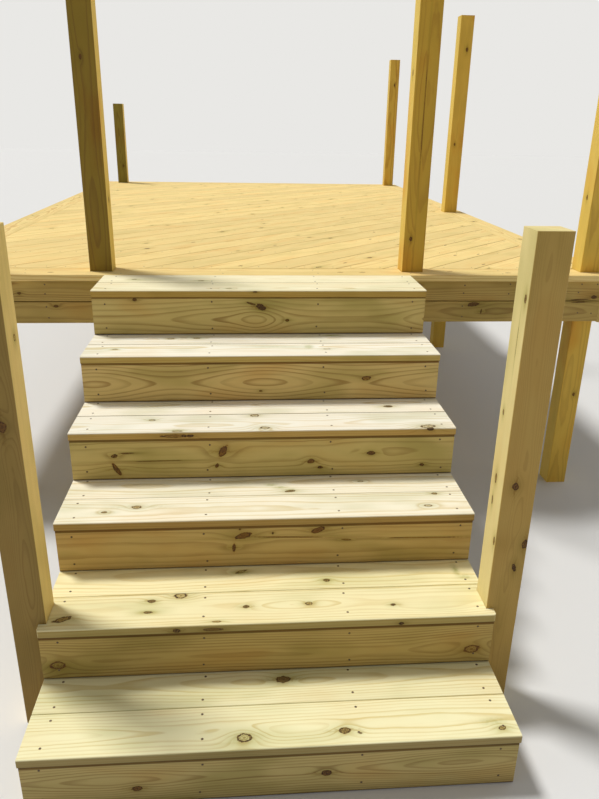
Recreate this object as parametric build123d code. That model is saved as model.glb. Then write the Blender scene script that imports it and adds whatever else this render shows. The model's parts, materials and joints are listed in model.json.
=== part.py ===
from build123d import *
from math import ceil
import os

# Timber deck stairs: a flight of six treads climbing to a raised deck.
# Millimetres. X runs to the right, Y away from the foot of the flight, Z up.
# The ground is Z = 0 and the whole footprint is centred on the origin.

INCH = 25.4

# Timber sections
BOARD_W = 5.5 * INCH
BOARD_T = 1.0 * INCH
RISER_T = 0.75 * INCH
POST = 3.5 * INCH
FRAME_T = 1.5 * INCH
JOIST_H = 7.25 * INCH
BAND_H = 3.5 * INCH
STRINGER_DEPTH = 11.25 * INCH
EASE = 3.0
POST_EASE = 3.0
FRAME_EASE = 3.0
UNDER_CHAMFER = 2.0

# Flight
STEPS = 6
RISE = 6.625 * INCH
RUN = 10.0 * INCH
FLIGHT_W = 48.5 * INCH
FLIGHT_X = -1.5 * INCH
TREAD_GAP = 2.0
RISER_DROP = 1.2
DECK_GAP = 2.0
STRINGER_X = (-22.75 * INCH, -7.25 * INCH, 8.25 * INCH, 22.75 * INCH)
STRINGER_OUT = 23.5 * INCH
NEWEL_STEP = 5
NEWEL_ABOVE_TREAD = 40.5 * INCH
NOTCH_CLEAR = 0.8
HORN_R = 7.0

# Deck
DECK_W = 116.0 * INCH
FRAME_LEN = 184.0 * INCH
OVER_FRONT = 1.25 * INCH
OVER_SIDE = 0.5 * INCH
DECK_TOP = STEPS * RISE
DECK_LEN = FRAME_LEN + 2 * OVER_FRONT
JOISTS = 13
FIELD_GAP = 2.6
BLOCK_SPACING = 24.0 * INCH
POST_CLEAR = 1.6
LEAST_OFFCUT = 60.0 * 60.0 * BOARD_T
BAND_GAP = 2.4

# Posts
TALL_POST = 49.25 * INCH
BACK_POST = 45.75 * INCH
SHORT_POST = 28.5 * INCH

# Levels and planes worked out from the above
DECK_UNDER = DECK_TOP - BOARD_T
TREAD_DEPTH = 2 * BOARD_W + TREAD_GAP
NOSE_OVER_CUT = TREAD_DEPTH - RUN
FLIGHT_REACH = TREAD_DEPTH + DECK_GAP + (STEPS - 1) * RUN
DECK_Y = (FLIGHT_REACH - DECK_LEN) / 2
FIRST_NOSE_Y = DECK_Y - (TREAD_DEPTH + DECK_GAP)
FLIGHT_LEFT = FLIGHT_X - FLIGHT_W / 2
FLIGHT_RIGHT = FLIGHT_X + FLIGHT_W / 2
LEFT = -DECK_W / 2
RIGHT = DECK_W / 2
RIM_FRONT_Y = DECK_Y + OVER_FRONT
POST_FRONT_Y = RIM_FRONT_Y + FRAME_T
RIM_BACK_Y = RIM_FRONT_Y + FRAME_LEN
DECK_BACK_Y = DECK_Y + DECK_LEN
POST_BACK_Y = RIM_BACK_Y - FRAME_T - POST
RIM_RIGHT_X = RIGHT - OVER_SIDE
POST_RIGHT_X = RIM_RIGHT_X - FRAME_T - POST
POST_LEFT_X = LEFT + BOARD_W + POST_CLEAR
HEAD_LEFT_X = FLIGHT_X - STRINGER_OUT - POST
HEAD_RIGHT_X = FLIGHT_X + STRINGER_OUT
LEDGER_IN_X = LEFT + FRAME_T
JOIST_FIRST_Y = POST_FRONT_Y + POST
JOIST_LAST_Y = POST_BACK_Y - FRAME_T
JOIST_PITCH = (JOIST_LAST_Y - JOIST_FIRST_Y) / (JOISTS - 1)
MID_JOIST_Y = JOIST_FIRST_Y + (JOISTS // 2) * JOIST_PITCH
POST_MID_Y = MID_JOIST_Y - POST


def tread_top(step):
    return DECK_TOP - (step - 1) * RISE


def nose_y(step):
    return FIRST_NOSE_Y - (step - 1) * RUN


def cut_y(step):
    return nose_y(step) + NOSE_OVER_CUT


def bar(x0, x1, y0, y1, z0, z1):
    solid = Box(x1 - x0, y1 - y0, z1 - z0)
    return Pos((x0 + x1) / 2, (y0 + y1) / 2, (z0 + z1) / 2) * solid


def eased_bar(x0, x1, y0, y1, z0, z1, along, radius):
    solid = bar(x0, x1, y0, y1, z0, z1)
    return fillet(solid.edges().filter_by(along), radius)


# Decking is rounded along its upper edges and chamfered along its lower ones.
def ease_decking(solid, along):
    upper = solid.edges().filter_by(along).group_by(Axis.Z)[-1]
    solid = fillet(upper, EASE)
    lower = solid.edges().filter_by(along).group_by(Axis.Z)[0]
    return chamfer(lower, UNDER_CHAMFER)


def plate(points, z0, thickness):
    face = make_face(Polyline(*points, close=True))
    return Pos(0, 0, z0) * extrude(face, amount=thickness, dir=(0, 0, 1))


def save(name, shape):
    export_step(shape, "parts/" + name + ".step")


# A stringer: a sawtooth cut from one wide plank, seated level on the ground
# and plumb against the deck band.
def stringer(centre_x):
    slope = RISE / RUN
    drop = STRINGER_DEPTH * (RUN ** 2 + RISE ** 2) ** 0.5 / RUN
    crown_z = tread_top(1) - BOARD_T

    def lower_edge_z(y):
        return crown_z + (y - cut_y(1)) * slope - drop

    heel_y = cut_y(1) + (drop - crown_z) / slope
    outline = [(RIM_FRONT_Y, lower_edge_z(RIM_FRONT_Y)), (RIM_FRONT_Y, crown_z)]
    for step in range(1, STEPS + 1):
        seat = tread_top(step) - BOARD_T
        outline.append((cut_y(step), seat))
        if step < STEPS:
            outline.append((cut_y(step), seat - RISE))
    outline.append((cut_y(STEPS), 0))
    outline.append((heel_y, 0))
    sketch = Plane.YZ * make_face(Polyline(*outline, close=True))
    solid = extrude(sketch, amount=FRAME_T / 2, both=True)
    return Pos(FLIGHT_X + centre_x, 0, 0) * solid


# A front tread board carries the nosing. The board of the newel step is
# notched round both posts and runs on in front of them as a rounded horn.
def front_board(step):
    y0 = nose_y(step)
    y1 = y0 + BOARD_W
    z1 = tread_top(step)
    z0 = z1 - BOARD_T
    solid = eased_bar(FLIGHT_LEFT, FLIGHT_RIGHT, y0, y1, z0, z1, Axis.X, EASE)
    if step != NEWEL_STEP:
        return solid
    notch_y0 = cut_y(step) - NOTCH_CLEAR
    notch_y1 = cut_y(step) + POST + NOTCH_CLEAR
    for x0 in (HEAD_LEFT_X, HEAD_RIGHT_X):
        solid -= bar(x0 - NOTCH_CLEAR, x0 + POST + NOTCH_CLEAR, notch_y0, notch_y1,
                     z0 - BOARD_T, z1 + BOARD_T)
    for side, corner in ((-1, FLIGHT_LEFT), (1, FLIGHT_RIGHT)):
        inward = corner - side * HORN_R
        block = bar(min(corner, inward), max(corner, inward), y0, y0 + HORN_R, z0, z1)
        core = Pos(inward, y0 + HORN_R, (z0 + z1) / 2) * Cylinder(HORN_R, BOARD_T)
        solid -= block - core
    return solid


def back_board(step):
    y0 = nose_y(step) + BOARD_W + TREAD_GAP
    z1 = tread_top(step)
    return eased_bar(FLIGHT_LEFT, FLIGHT_RIGHT, y0, y0 + BOARD_W, z1 - BOARD_T, z1, Axis.X, EASE)


# A riser is fixed to the stringers, a hair below its own tread and just above
# the tread below.
def riser(step):
    y1 = cut_y(step)
    z1 = tread_top(step) - BOARD_T - RISER_DROP
    return eased_bar(FLIGHT_LEFT, FLIGHT_RIGHT, y1 - RISER_T, y1, z1 - BOARD_W, z1, Axis.X, EASE / 2)


def post(x0, y0, top):
    return eased_bar(x0, x0 + POST, y0, y0 + POST, 0, top, Axis.Z, POST_EASE)


NEWELS = {
    "newel_left": (HEAD_LEFT_X, cut_y(NEWEL_STEP), tread_top(NEWEL_STEP) + NEWEL_ABOVE_TREAD),
    "newel_right": (HEAD_RIGHT_X, cut_y(NEWEL_STEP), tread_top(NEWEL_STEP) + NEWEL_ABOVE_TREAD),
}

DECK_POSTS = {
    "head_post_left": (HEAD_LEFT_X, POST_FRONT_Y, DECK_TOP + TALL_POST),
    "head_post_right": (HEAD_RIGHT_X, POST_FRONT_Y, DECK_TOP + TALL_POST),
    "post_front_right": (POST_RIGHT_X, POST_FRONT_Y, DECK_TOP + TALL_POST),
    "post_mid_right": (POST_RIGHT_X, POST_MID_Y, DECK_TOP + TALL_POST),
    "post_back_right": (POST_RIGHT_X, POST_BACK_Y, DECK_TOP + BACK_POST),
    "post_front_left": (POST_LEFT_X, POST_FRONT_Y, DECK_TOP + SHORT_POST),
    "post_back_left": (POST_LEFT_X, POST_BACK_Y, DECK_TOP + SHORT_POST),
}


# Holes that let the deck posts rise through the boards.
def post_wells():
    wells = []
    for x0, y0, top in DECK_POSTS.values():
        wells.append(bar(x0 - POST_CLEAR, x0 + POST + POST_CLEAR,
                         y0 - POST_CLEAR, y0 + POST + POST_CLEAR,
                         DECK_UNDER - BOARD_T, DECK_TOP + BOARD_T))
    return wells


def cut_wells(shape, wells):
    box = shape.bounding_box()
    for well in wells:
        w = well.bounding_box()
        apart_x = w.min.X > box.max.X or w.max.X < box.min.X
        apart_y = w.min.Y > box.max.Y or w.max.Y < box.min.Y
        if not apart_x and not apart_y:
            shape = shape - well
    return shape


# The picture frame: four border boards mitred at the corners. Each board
# stops half a gap short of both mitres.
def border_boards(wells):
    outer = [Vector(LEFT, DECK_Y), Vector(RIGHT, DECK_Y),
             Vector(RIGHT, DECK_BACK_Y), Vector(LEFT, DECK_BACK_Y)]
    inner = [Vector(LEFT + BOARD_W, DECK_Y + BOARD_W), Vector(RIGHT - BOARD_W, DECK_Y + BOARD_W),
             Vector(RIGHT - BOARD_W, DECK_BACK_Y - BOARD_W), Vector(LEFT + BOARD_W, DECK_BACK_Y - BOARD_W)]
    names = ("border_front", "border_right", "border_back", "border_left")
    boards = {}
    for k, name in enumerate(names):
        end = (k + 1) % 4
        short = (outer[end] - outer[k]).normalized() * FIELD_GAP / 2
        corners = [outer[k] + short, outer[end] - short, inner[end] - short, inner[k] + short]
        along = Axis.X if k % 2 == 0 else Axis.Y
        solid = ease_decking(plate(corners, DECK_UNDER, BOARD_T), along)
        boards[name] = cut_wells(solid, wells)
    return boards


# Field boards run at 45 degrees and are trimmed to the picture frame.
def field_boards(wells):
    x0 = LEFT + BOARD_W + FIELD_GAP
    x1 = RIGHT - BOARD_W - FIELD_GAP
    y0 = DECK_Y + BOARD_W + FIELD_GAP
    y1 = DECK_BACK_Y - BOARD_W - FIELD_GAP
    trim = bar(x0, x1, y0, y1, DECK_UNDER - BOARD_T, DECK_TOP + BOARD_T)
    centre_x = (x0 + x1) / 2
    centre_y = (y0 + y1) / 2
    reach = (x1 - x0) + (y1 - y0)
    pitch = BOARD_W + FIELD_GAP
    count = int(reach / (2 ** 0.5) / pitch) + 2
    boards = []
    for k in range(count):
        offset = (k - (count - 1) / 2) * pitch
        lath = ease_decking(bar(-reach / 2, reach / 2, offset - BOARD_W / 2, offset + BOARD_W / 2,
                                -BOARD_T, 0), Axis.X)
        lath = Pos(centre_x, centre_y, DECK_TOP) * Rot(0, 0, 45) * lath
        lath = lath & trim
        if lath is None or lath.volume < LEAST_OFFCUT:
            continue
        pieces = cut_wells(lath, wells).solids()
        boards.extend(piece for piece in pieces if piece.volume > LEAST_OFFCUT)
    return Compound(boards)


def joists():
    z1 = DECK_UNDER
    z0 = z1 - JOIST_H
    bars = []
    for k in range(JOISTS):
        y0 = JOIST_FIRST_Y + k * JOIST_PITCH
        joist = bar(LEDGER_IN_X, RIM_RIGHT_X - FRAME_T, y0, y0 + FRAME_T, z0, z1)
        bars.append(chamfer(joist.edges().filter_by(Axis.X), UNDER_CHAMFER))
    return Compound(bars)


# Short blocks between the end joists and the bands carry the border boards.
# They share out each bay between two posts of the row.
def blocking():
    z1 = DECK_UNDER
    z0 = z1 - JOIST_H
    blocks = []
    for post_y, y0, y1 in ((POST_FRONT_Y, RIM_FRONT_Y + FRAME_T, JOIST_FIRST_Y),
                           (POST_BACK_Y, JOIST_LAST_Y + FRAME_T, RIM_BACK_Y - FRAME_T)):
        row = sorted(x for x, y, top in DECK_POSTS.values() if y == post_y)
        for left, right in zip(row[:-1], row[1:]):
            bay = right - (left + POST)
            parts = ceil(bay / BLOCK_SPACING)
            for k in range(1, parts):
                x = left + POST + k * bay / parts
                blocks.append(bar(x - FRAME_T / 2, x + FRAME_T / 2, y0, y1, z0, z1))
    return Compound(blocks)


def main():
    os.makedirs("parts", exist_ok=True)
    for k, x in enumerate(STRINGER_X, start=1):
        save("stringer_%d" % k, stringer(x))
    for step in range(1, STEPS + 1):
        save("tread_%d_front" % step, front_board(step))
        save("tread_%d_back" % step, back_board(step))
        save("riser_%d" % step, riser(step))
    for name, (x0, y0, top) in list(NEWELS.items()) + list(DECK_POSTS.items()):
        save(name, post(x0, y0, top))

    band_x1 = RIM_RIGHT_X - FRAME_T
    band_y1 = RIM_FRONT_Y + FRAME_T
    upper_z0 = DECK_UNDER - BAND_H
    lower_z1 = upper_z0 - BAND_GAP
    save("band_front_upper", eased_bar(LEFT, band_x1, RIM_FRONT_Y, band_y1, upper_z0, DECK_UNDER,
                                       Axis.X, FRAME_EASE))
    save("band_front_lower", eased_bar(LEFT, band_x1, RIM_FRONT_Y, band_y1, lower_z1 - BAND_H, lower_z1,
                                       Axis.X, FRAME_EASE))
    rim_z0 = DECK_UNDER - JOIST_H
    save("rim_right", eased_bar(band_x1, RIM_RIGHT_X, RIM_FRONT_Y, RIM_BACK_Y, rim_z0, DECK_UNDER,
                                Axis.Y, FRAME_EASE))
    save("rim_back", eased_bar(LEFT, band_x1, RIM_BACK_Y - FRAME_T, RIM_BACK_Y, rim_z0, DECK_UNDER,
                               Axis.X, FRAME_EASE))
    save("ledger", eased_bar(LEFT, LEDGER_IN_X, band_y1, RIM_BACK_Y - FRAME_T, rim_z0, DECK_UNDER,
                             Axis.Y, FRAME_EASE))
    save("joists", joists())
    save("blocking", blocking())

    wells = post_wells()
    for name, board in border_boards(wells).items():
        save(name, board)
    save("field_boards", field_boards(wells))


main()
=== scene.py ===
import bpy
import json
import math
import random
from mathutils import Matrix, Vector


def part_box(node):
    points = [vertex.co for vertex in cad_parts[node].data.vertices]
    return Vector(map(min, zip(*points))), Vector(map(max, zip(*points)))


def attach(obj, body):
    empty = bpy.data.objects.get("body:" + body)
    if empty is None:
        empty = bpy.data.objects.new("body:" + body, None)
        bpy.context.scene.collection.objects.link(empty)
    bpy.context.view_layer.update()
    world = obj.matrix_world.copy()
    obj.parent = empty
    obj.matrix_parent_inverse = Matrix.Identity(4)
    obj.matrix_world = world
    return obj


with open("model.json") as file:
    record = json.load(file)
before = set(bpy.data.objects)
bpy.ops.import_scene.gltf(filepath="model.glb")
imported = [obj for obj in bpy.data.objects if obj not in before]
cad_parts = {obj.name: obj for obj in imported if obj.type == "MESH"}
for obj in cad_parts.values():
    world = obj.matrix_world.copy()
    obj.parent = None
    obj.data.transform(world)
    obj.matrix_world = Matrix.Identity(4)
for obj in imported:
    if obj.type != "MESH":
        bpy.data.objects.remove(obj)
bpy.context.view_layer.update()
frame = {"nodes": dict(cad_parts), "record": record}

# Lengths are metres. The frame gives every place, so these are only the sizes
# that the frame doesn't hold.
INCH = 0.0254
STEPS = 6
RISE_OVER_RUN = 6.625 / 10.0
NAIL_RADIUS = 0.0028
SCREW_RADIUS = 0.0023
SPECK_RADIUS = 0.0055
SPECK_STRETCH = 3.0
X_AXIS = Vector((1, 0, 0))
Y_AXIS = Vector((0, 1, 0))
Z_AXIS = Vector((0, 0, 1))

# The boards of the deck's field run at 45 degrees
BOARD_WAY = Vector((1, 1, 0)).normalized()
BOARD_SIDE = Z_AXIS.cross(BOARD_WAY)
BOARD_WIDTH = 5.5 * INCH
BOARD_PITCH = BOARD_WIDTH + 0.0026
# Along each node's grain and across its face, by how its name starts
FLAT, ON_EDGE, UPRIGHT = (X_AXIS, Y_AXIS), (X_AXIS, Z_AXIS), (Z_AXIS, X_AXIS)
FLAT_BACK, ON_EDGE_BACK = (Y_AXIS, X_AXIS), (Y_AXIS, Z_AXIS)
SLOPE = Vector((0, 1, RISE_OVER_RUN)).normalized()
WAYS = {
    "tread_": FLAT, "riser_": ON_EDGE, "stringer_": (SLOPE, X_AXIS.cross(SLOPE)), "newel_": UPRIGHT,
    "head_post_": UPRIGHT, "post_": UPRIGHT, "band_": ON_EDGE, "rim_back": ON_EDGE,
    "rim_right": ON_EDGE_BACK, "ledger": ON_EDGE_BACK, "joists": ON_EDGE, "blocking": ON_EDGE_BACK,
    "border_front": FLAT, "border_back": FLAT, "border_": FLAT_BACK,
    "field_boards": (BOARD_WAY, BOARD_SIDE),
}

DECK_LOW, DECK_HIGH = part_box("border_front")
FLIGHT_LOW, FLIGHT_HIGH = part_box("tread_1_front")
FLIGHT_X = (FLIGHT_LOW.x + FLIGHT_HIGH.x) / 2
DECK_TOP = DECK_HIGH.z
DECK_FRONT = DECK_LOW.y


def flight_point(x, y, z):
    """A point given in inches from the middle of the flight, the deck's edge and its top."""
    return Vector((FLIGHT_X + x * INCH, DECK_FRONT + y * INCH, DECK_TOP + z * INCH))


def face_point(x, y, z):
    """The same for x, with y and z as they are in the frame."""
    return Vector((FLIGHT_X + x * INCH, y, z))


def add_object(name, data):
    made = bpy.data.objects.new(name, data)
    bpy.context.scene.collection.objects.link(made)
    return made


# Camera: the place and lens that put the treads, risers and posts on the
# pixels where the photograph has them.
PHOTO_LONG_SIDE = 799
FOCAL_PIXELS = 705.8
SENSOR = 36.0
CAMERA_FROM_DECK_EDGE = Vector((-2.49, -111.85, 22.47)) * INCH
CAMERA_YAW = 0.082
CAMERA_PITCH = 0.372
CAMERA_ROLL = 0.018


def make_camera():
    data = bpy.data.cameras.new("camera")
    data.sensor_width = SENSOR
    data.lens = FOCAL_PIXELS * SENSOR / PHOTO_LONG_SIDE
    data.clip_end = 100.0
    camera = add_object("camera", data)
    forward = Vector((math.sin(CAMERA_YAW) * math.cos(CAMERA_PITCH),
                      math.cos(CAMERA_YAW) * math.cos(CAMERA_PITCH),
                      -math.sin(CAMERA_PITCH)))
    level_right = Vector((math.cos(CAMERA_YAW), -math.sin(CAMERA_YAW), 0))
    level_up = level_right.cross(forward)
    right = level_right * math.cos(CAMERA_ROLL) + level_up * math.sin(CAMERA_ROLL)
    up = level_up * math.cos(CAMERA_ROLL) - level_right * math.sin(CAMERA_ROLL)
    turn = Matrix((right, up, -forward)).transposed()
    place = Vector((FLIGHT_X, DECK_FRONT, DECK_TOP)) + CAMERA_FROM_DECK_EDGE
    camera.matrix_world = Matrix.Translation(place) @ turn.to_4x4()
    bpy.context.scene.camera = camera


# Node graphs, written as short expressions
class Graph:
    def __init__(self, tree):
        self.tree = tree

    def node(self, kind, **settings):
        made = self.tree.nodes.new(kind)
        for key, value in settings.items():
            setattr(made, key, value)
        return made

    def feed(self, socket, value):
        if isinstance(value, bpy.types.NodeSocket):
            self.tree.links.new(value, socket)
        elif value is not None:
            socket.default_value = value

    def math(self, operation, *values, clamp=False):
        made = self.node("ShaderNodeMath", operation=operation, use_clamp=clamp)
        for socket, value in zip(made.inputs, values):
            self.feed(socket, value)
        return made.outputs[0]

    def add(self, a, b):
        return self.math("ADD", a, b)

    def sub(self, a, b):
        return self.math("SUBTRACT", a, b)

    def mul(self, a, b):
        return self.math("MULTIPLY", a, b)

    def div(self, a, b):
        return self.math("DIVIDE", a, b)

    def larger(self, a, b):
        return self.math("MAXIMUM", a, b)

    def squares(self, *values):
        total = self.mul(values[0], values[0])
        for value in values[1:]:
            total = self.add(total, self.mul(value, value))
        return total

    def bell(self, fall):
        return self.math("EXPONENT", self.mul(fall, -1.0))

    def dot(self, a, b):
        made = self.node("ShaderNodeVectorMath", operation="DOT_PRODUCT")
        self.feed(made.inputs[0], a)
        self.feed(made.inputs[1], b)
        return made.outputs["Value"]

    def combine(self, x, y, z):
        made = self.node("ShaderNodeCombineXYZ")
        for socket, value in zip(made.inputs, (x, y, z)):
            self.feed(socket, value)
        return made.outputs[0]

    def noise(self, vector, scale=1.0, detail=2.0, roughness=0.5):
        made = self.node("ShaderNodeTexNoise")
        self.feed(made.inputs["Vector"], vector)
        self.feed(made.inputs["Scale"], scale)
        self.feed(made.inputs["Detail"], detail)
        self.feed(made.inputs["Roughness"], roughness)
        return made.outputs["Fac"]

    def random(self, value):
        made = self.node("ShaderNodeTexWhiteNoise", noise_dimensions="1D")
        self.feed(made.inputs["W"], value)
        return made.outputs["Value"]

    def smooth(self, value, low, high):
        made = self.node("ShaderNodeMapRange", interpolation_type="SMOOTHSTEP")
        self.feed(made.inputs["Value"], value)
        self.feed(made.inputs["From Min"], low)
        self.feed(made.inputs["From Max"], high)
        return made.outputs["Result"]

    def fade(self, value, low, high):
        return self.sub(1.0, self.smooth(value, low, high))

    def mix(self, factor, a, b, blend="MIX"):
        made = self.node("ShaderNodeMix", data_type="RGBA", blend_type=blend)
        self.feed(made.inputs["Factor"], factor)
        self.feed(made.inputs["A"], a)
        self.feed(made.inputs["B"], b)
        return made.outputs["Result"]

    def group(self, tree, **values):
        made = self.node("ShaderNodeGroup", node_tree=tree)
        for key, value in values.items():
            self.feed(made.inputs[key], value)
        return made.outputs


def new_group(name, inputs, outputs):
    tree = bpy.data.node_groups.new(name, "ShaderNodeTree")
    for key, kind in inputs.items():
        tree.interface.new_socket(key, in_out="INPUT", socket_type=kind)
    for key, kind in outputs.items():
        tree.interface.new_socket(key, in_out="OUTPUT", socket_type=kind)
    graph = Graph(tree)
    return graph, graph.node("NodeGroupInput").outputs, graph.node("NodeGroupOutput").inputs


def new_material(name):
    material = bpy.data.materials.new(name)
    material.use_nodes = True
    return material, Graph(material.node_tree), material.node_tree.nodes["Principled BSDF"]


FLOAT = "NodeSocketFloat"
COLOR = "NodeSocketColor"


def srgb(red, green, blue):
    def linear(value):
        value = value / 255
        return value / 12.92 if value <= 0.04045 else ((value + 0.055) / 1.055) ** 2.4
    return (linear(red), linear(green), linear(blue), 1.0)


# One knot: a rounded lens in the wood, with a bark rim, rings of its own, a
# core that is more or less dark, and a swell that the growth rings flow round.
# W is the depth, so a knot near an edge shows on both faces.
def knot_group():
    keys = ("U", "V", "W", "KnotU", "KnotV", "KnotW", "Cos", "Sin", "Radius", "Stretch", "Depth", "Swell",
            "Fill", "Uneven", "Fine")
    graph, given, result = new_group("knot", {key: FLOAT for key in keys},
                                     {"Bulge": FLOAT, "Stain": FLOAT, "Rim": FLOAT, "Halo": FLOAT})
    du = graph.sub(given["U"], given["KnotU"])
    dv = graph.sub(given["V"], given["KnotV"])
    dw = graph.div(graph.sub(given["W"], given["KnotW"]), given["Depth"])
    turned_u = graph.add(graph.mul(du, given["Cos"]), graph.mul(dv, given["Sin"]))
    turned_v = graph.sub(graph.mul(dv, given["Cos"]), graph.mul(du, given["Sin"]))
    long_radius = graph.mul(given["Radius"], given["Stretch"])
    u = graph.div(turned_u, long_radius)
    v = graph.div(turned_v, given["Radius"])
    uneven = given["Uneven"]
    lens = graph.add(graph.math("POWER", graph.math("ABSOLUTE", u), 1.7), graph.mul(v, v))
    lens = graph.add(lens, graph.mul(dw, dw))
    distance = graph.math("POWER", lens, 0.54)
    rough = graph.add(graph.mul(uneven, 0.75), graph.mul(given["Fine"], 0.4))
    distance = graph.mul(distance, graph.add(0.45, rough))
    inside = graph.fade(distance, 0.82, 1.08)
    rim = graph.mul(graph.smooth(distance, 0.6, 0.9), graph.fade(distance, 0.95, 1.2))
    rim = graph.mul(rim, graph.add(0.45, graph.mul(graph.smooth(given["Fine"], 0.32, 0.58), 0.7)))
    heart = graph.mul(graph.fade(distance, 0.05, 0.5), graph.add(0.3, graph.mul(given["Fill"], 0.5)))
    turns = graph.smooth(graph.math("SINE", graph.add(graph.mul(distance, 21.0), graph.mul(uneven, 6.0))),
                         -0.4, 1.0)
    rings = graph.mul(inside, graph.mul(turns, 0.36))
    patchy = graph.mul(graph.smooth(given["Fine"], 0.36, 0.6), 0.3)
    patchy = graph.add(0.5, graph.add(graph.mul(turns, 0.2), patchy))
    filled = graph.mul(inside, graph.mul(given["Fill"], patchy))
    soak = graph.mul(graph.fade(distance, 0.9, 2.3), 0.16)
    tail_u = graph.div(du, graph.mul(given["Radius"], 5.2))
    tail_v = graph.mul(graph.add(graph.div(dv, given["Radius"]),
                                 graph.mul(graph.sub(uneven, 0.5), 2.4)), 2.2)
    tail = graph.bell(graph.squares(tail_u, tail_v, dw))
    soak = graph.larger(soak, graph.mul(tail, graph.mul(given["Fill"], 0.32)))
    heart = graph.mul(inside, heart)
    stain = graph.larger(graph.larger(filled, rim), graph.larger(graph.larger(heart, rings), soak))
    swell_u = graph.div(du, graph.mul(long_radius, 2.8))
    swell_v = graph.div(dv, graph.mul(given["Radius"], 2.3))
    fall = graph.add(graph.squares(swell_u, swell_v), graph.mul(graph.mul(dw, dw), 0.3))
    bell = graph.bell(fall)
    graph.feed(result["Bulge"], graph.mul(bell, graph.mul(given["Radius"], given["Swell"])))
    graph.feed(result["Stain"], stain)
    graph.feed(result["Rim"], graph.larger(rim, heart))
    graph.feed(result["Halo"], bell)
    return graph.tree


# A stretch where the saw just met a ring, so that the rings close in long eyes
def swell_group():
    keys = ("U", "V", "SwellU", "SwellV", "Length", "Width", "Rise")
    graph, given, result = new_group("ring_eye", {key: FLOAT for key in keys}, {"Bulge": FLOAT})
    u = graph.div(graph.sub(given["U"], given["SwellU"]), given["Length"])
    v = graph.div(graph.sub(given["V"], given["SwellV"]), given["Width"])
    graph.feed(result["Bulge"], graph.mul(graph.bell(graph.squares(u, v)), given["Rise"]))
    return graph.tree


# What tints the wood, the tint of the thin lines of painted shade, and the darkest colours of its knots
GREEN_TINT = srgb(168, 176, 104)
GOLD_TINT = srgb(240, 190, 104)
RESIN_TINT = srgb(208, 180, 126)
SHADE_LINE_TINT = srgb(156, 138, 102)
BLACK_KNOT = srgb(46, 28, 14)
BARK = srgb(56, 36, 18)


# Sawn pine: growth rings round a pith that wanders along the log, so faces
# show straight grain or arches and ends show arcs. All in metres.
def pine_group():
    keys = ("Along", "Across", "Through", "PithAcross", "PithThrough", "Taper", "Pitch", "Seed",
            "Bulge", "Stain", "Rim", "Halo", "Dark", "Green", "Gold", "Wander", "Edge", "Gap")
    inputs = {key: FLOAT for key in keys}
    inputs.update({"Early": COLOR, "Late": COLOR, "Knot": COLOR, "EdgeTint": COLOR})
    graph, given, result = new_group("sawn_pine", inputs, {"Color": COLOR, "Height": FLOAT, "Rough": FLOAT})
    seed_place = graph.mul(given["Seed"], 17.3)
    slow_along = graph.add(graph.mul(given["Along"], 1.3), seed_place)

    def from_pith(side, layer):
        wander = graph.noise(graph.combine(slow_along, graph.mul(given[side], 1.5), layer), detail=1.0)
        return graph.add(graph.sub(given[side], given["Pith" + side]),
                         graph.mul(graph.sub(wander, 0.5), given["Wander"]))

    def drawn_noise(start, along, cross, **settings):
        place = graph.combine(graph.add(graph.mul(given["Along"], along), start),
                              graph.mul(given["Across"], cross), graph.mul(given["Through"], cross))
        return graph.noise(place, **settings)

    radius = graph.math("SQRT", graph.squares(from_pith("Across", 0.0), from_pith("Through", 9.0)))
    ripple = drawn_noise(seed_place, 7.0, 26.0)
    radius = graph.add(radius, graph.mul(given["Along"], given["Taper"]))
    radius = graph.add(radius, graph.add(given["Bulge"], graph.mul(graph.sub(ripple, 0.5), 0.005)))
    count = graph.div(radius, given["Pitch"])
    ring = graph.math("FRACT", count)
    chance = graph.random(graph.add(graph.math("FLOOR", count), given["Seed"]))
    late = graph.mul(graph.smooth(ring, graph.add(0.25, graph.mul(chance, 0.3)), 0.88),
                     graph.fade(ring, 0.9, 1.0))
    late = graph.mul(late, graph.add(0.35, graph.mul(chance, 0.65)))
    fibre = drawn_noise(0.0, 8.0, 420.0, roughness=0.6)
    streak = drawn_noise(seed_place, 2.2, 60.0, detail=3.0)
    cloud = drawn_noise(seed_place, 3.4, 9.0)
    tone = graph.add(late, graph.mul(graph.sub(streak, 0.5), 0.9))
    tone = graph.add(tone, graph.mul(graph.sub(fibre, 0.5), 0.4))
    wood = graph.mix(graph.math("ADD", tone, 0.0, clamp=True), given["Early"], given["Late"])
    green = graph.mul(graph.smooth(cloud, 0.46, 0.72), given["Green"])
    green = graph.math("ADD", green, graph.mul(given["Halo"], 0.4), clamp=True)
    wood = graph.mix(green, wood, GREEN_TINT, "MULTIPLY")
    wood = graph.mix(graph.mul(graph.smooth(cloud, 0.5, 0.24), given["Gold"]), wood, GOLD_TINT, "MULTIPLY")
    # Painted shade on a board's front face, as a tint multiplied into the wood
    wood = graph.mix(given["Edge"], wood, given["EdgeTint"], "MULTIPLY")
    heart = graph.mix(given["Dark"], given["Knot"], BLACK_KNOT)
    outline = graph.math("ADD", given["Dark"], 0.4, clamp=True)
    heart = graph.mix(graph.mul(given["Rim"], outline), heart, BARK)
    wood = graph.mix(graph.smooth(given["Stain"], 0.0, 0.5), wood, RESIN_TINT, "MULTIPLY")
    wood = graph.mix(graph.smooth(given["Stain"], 0.12, 0.95), wood, heart)
    # Thin lines of painted shade at edges, seams, under nosings and at the feet of risers
    wood = graph.mix(given["Gap"], wood, SHADE_LINE_TINT, "MULTIPLY")
    graph.feed(result["Color"], wood)
    height = graph.add(graph.mul(late, 0.5), graph.mul(fibre, 0.5))
    height = graph.sub(height, graph.mul(given["Stain"], 0.6))
    graph.feed(result["Height"], height)
    graph.feed(result["Rough"], graph.sub(0.74, graph.mul(late, 0.14)))
    return graph.tree


KNOT = knot_group()
SWELL = swell_group()
PINE = pine_group()

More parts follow.
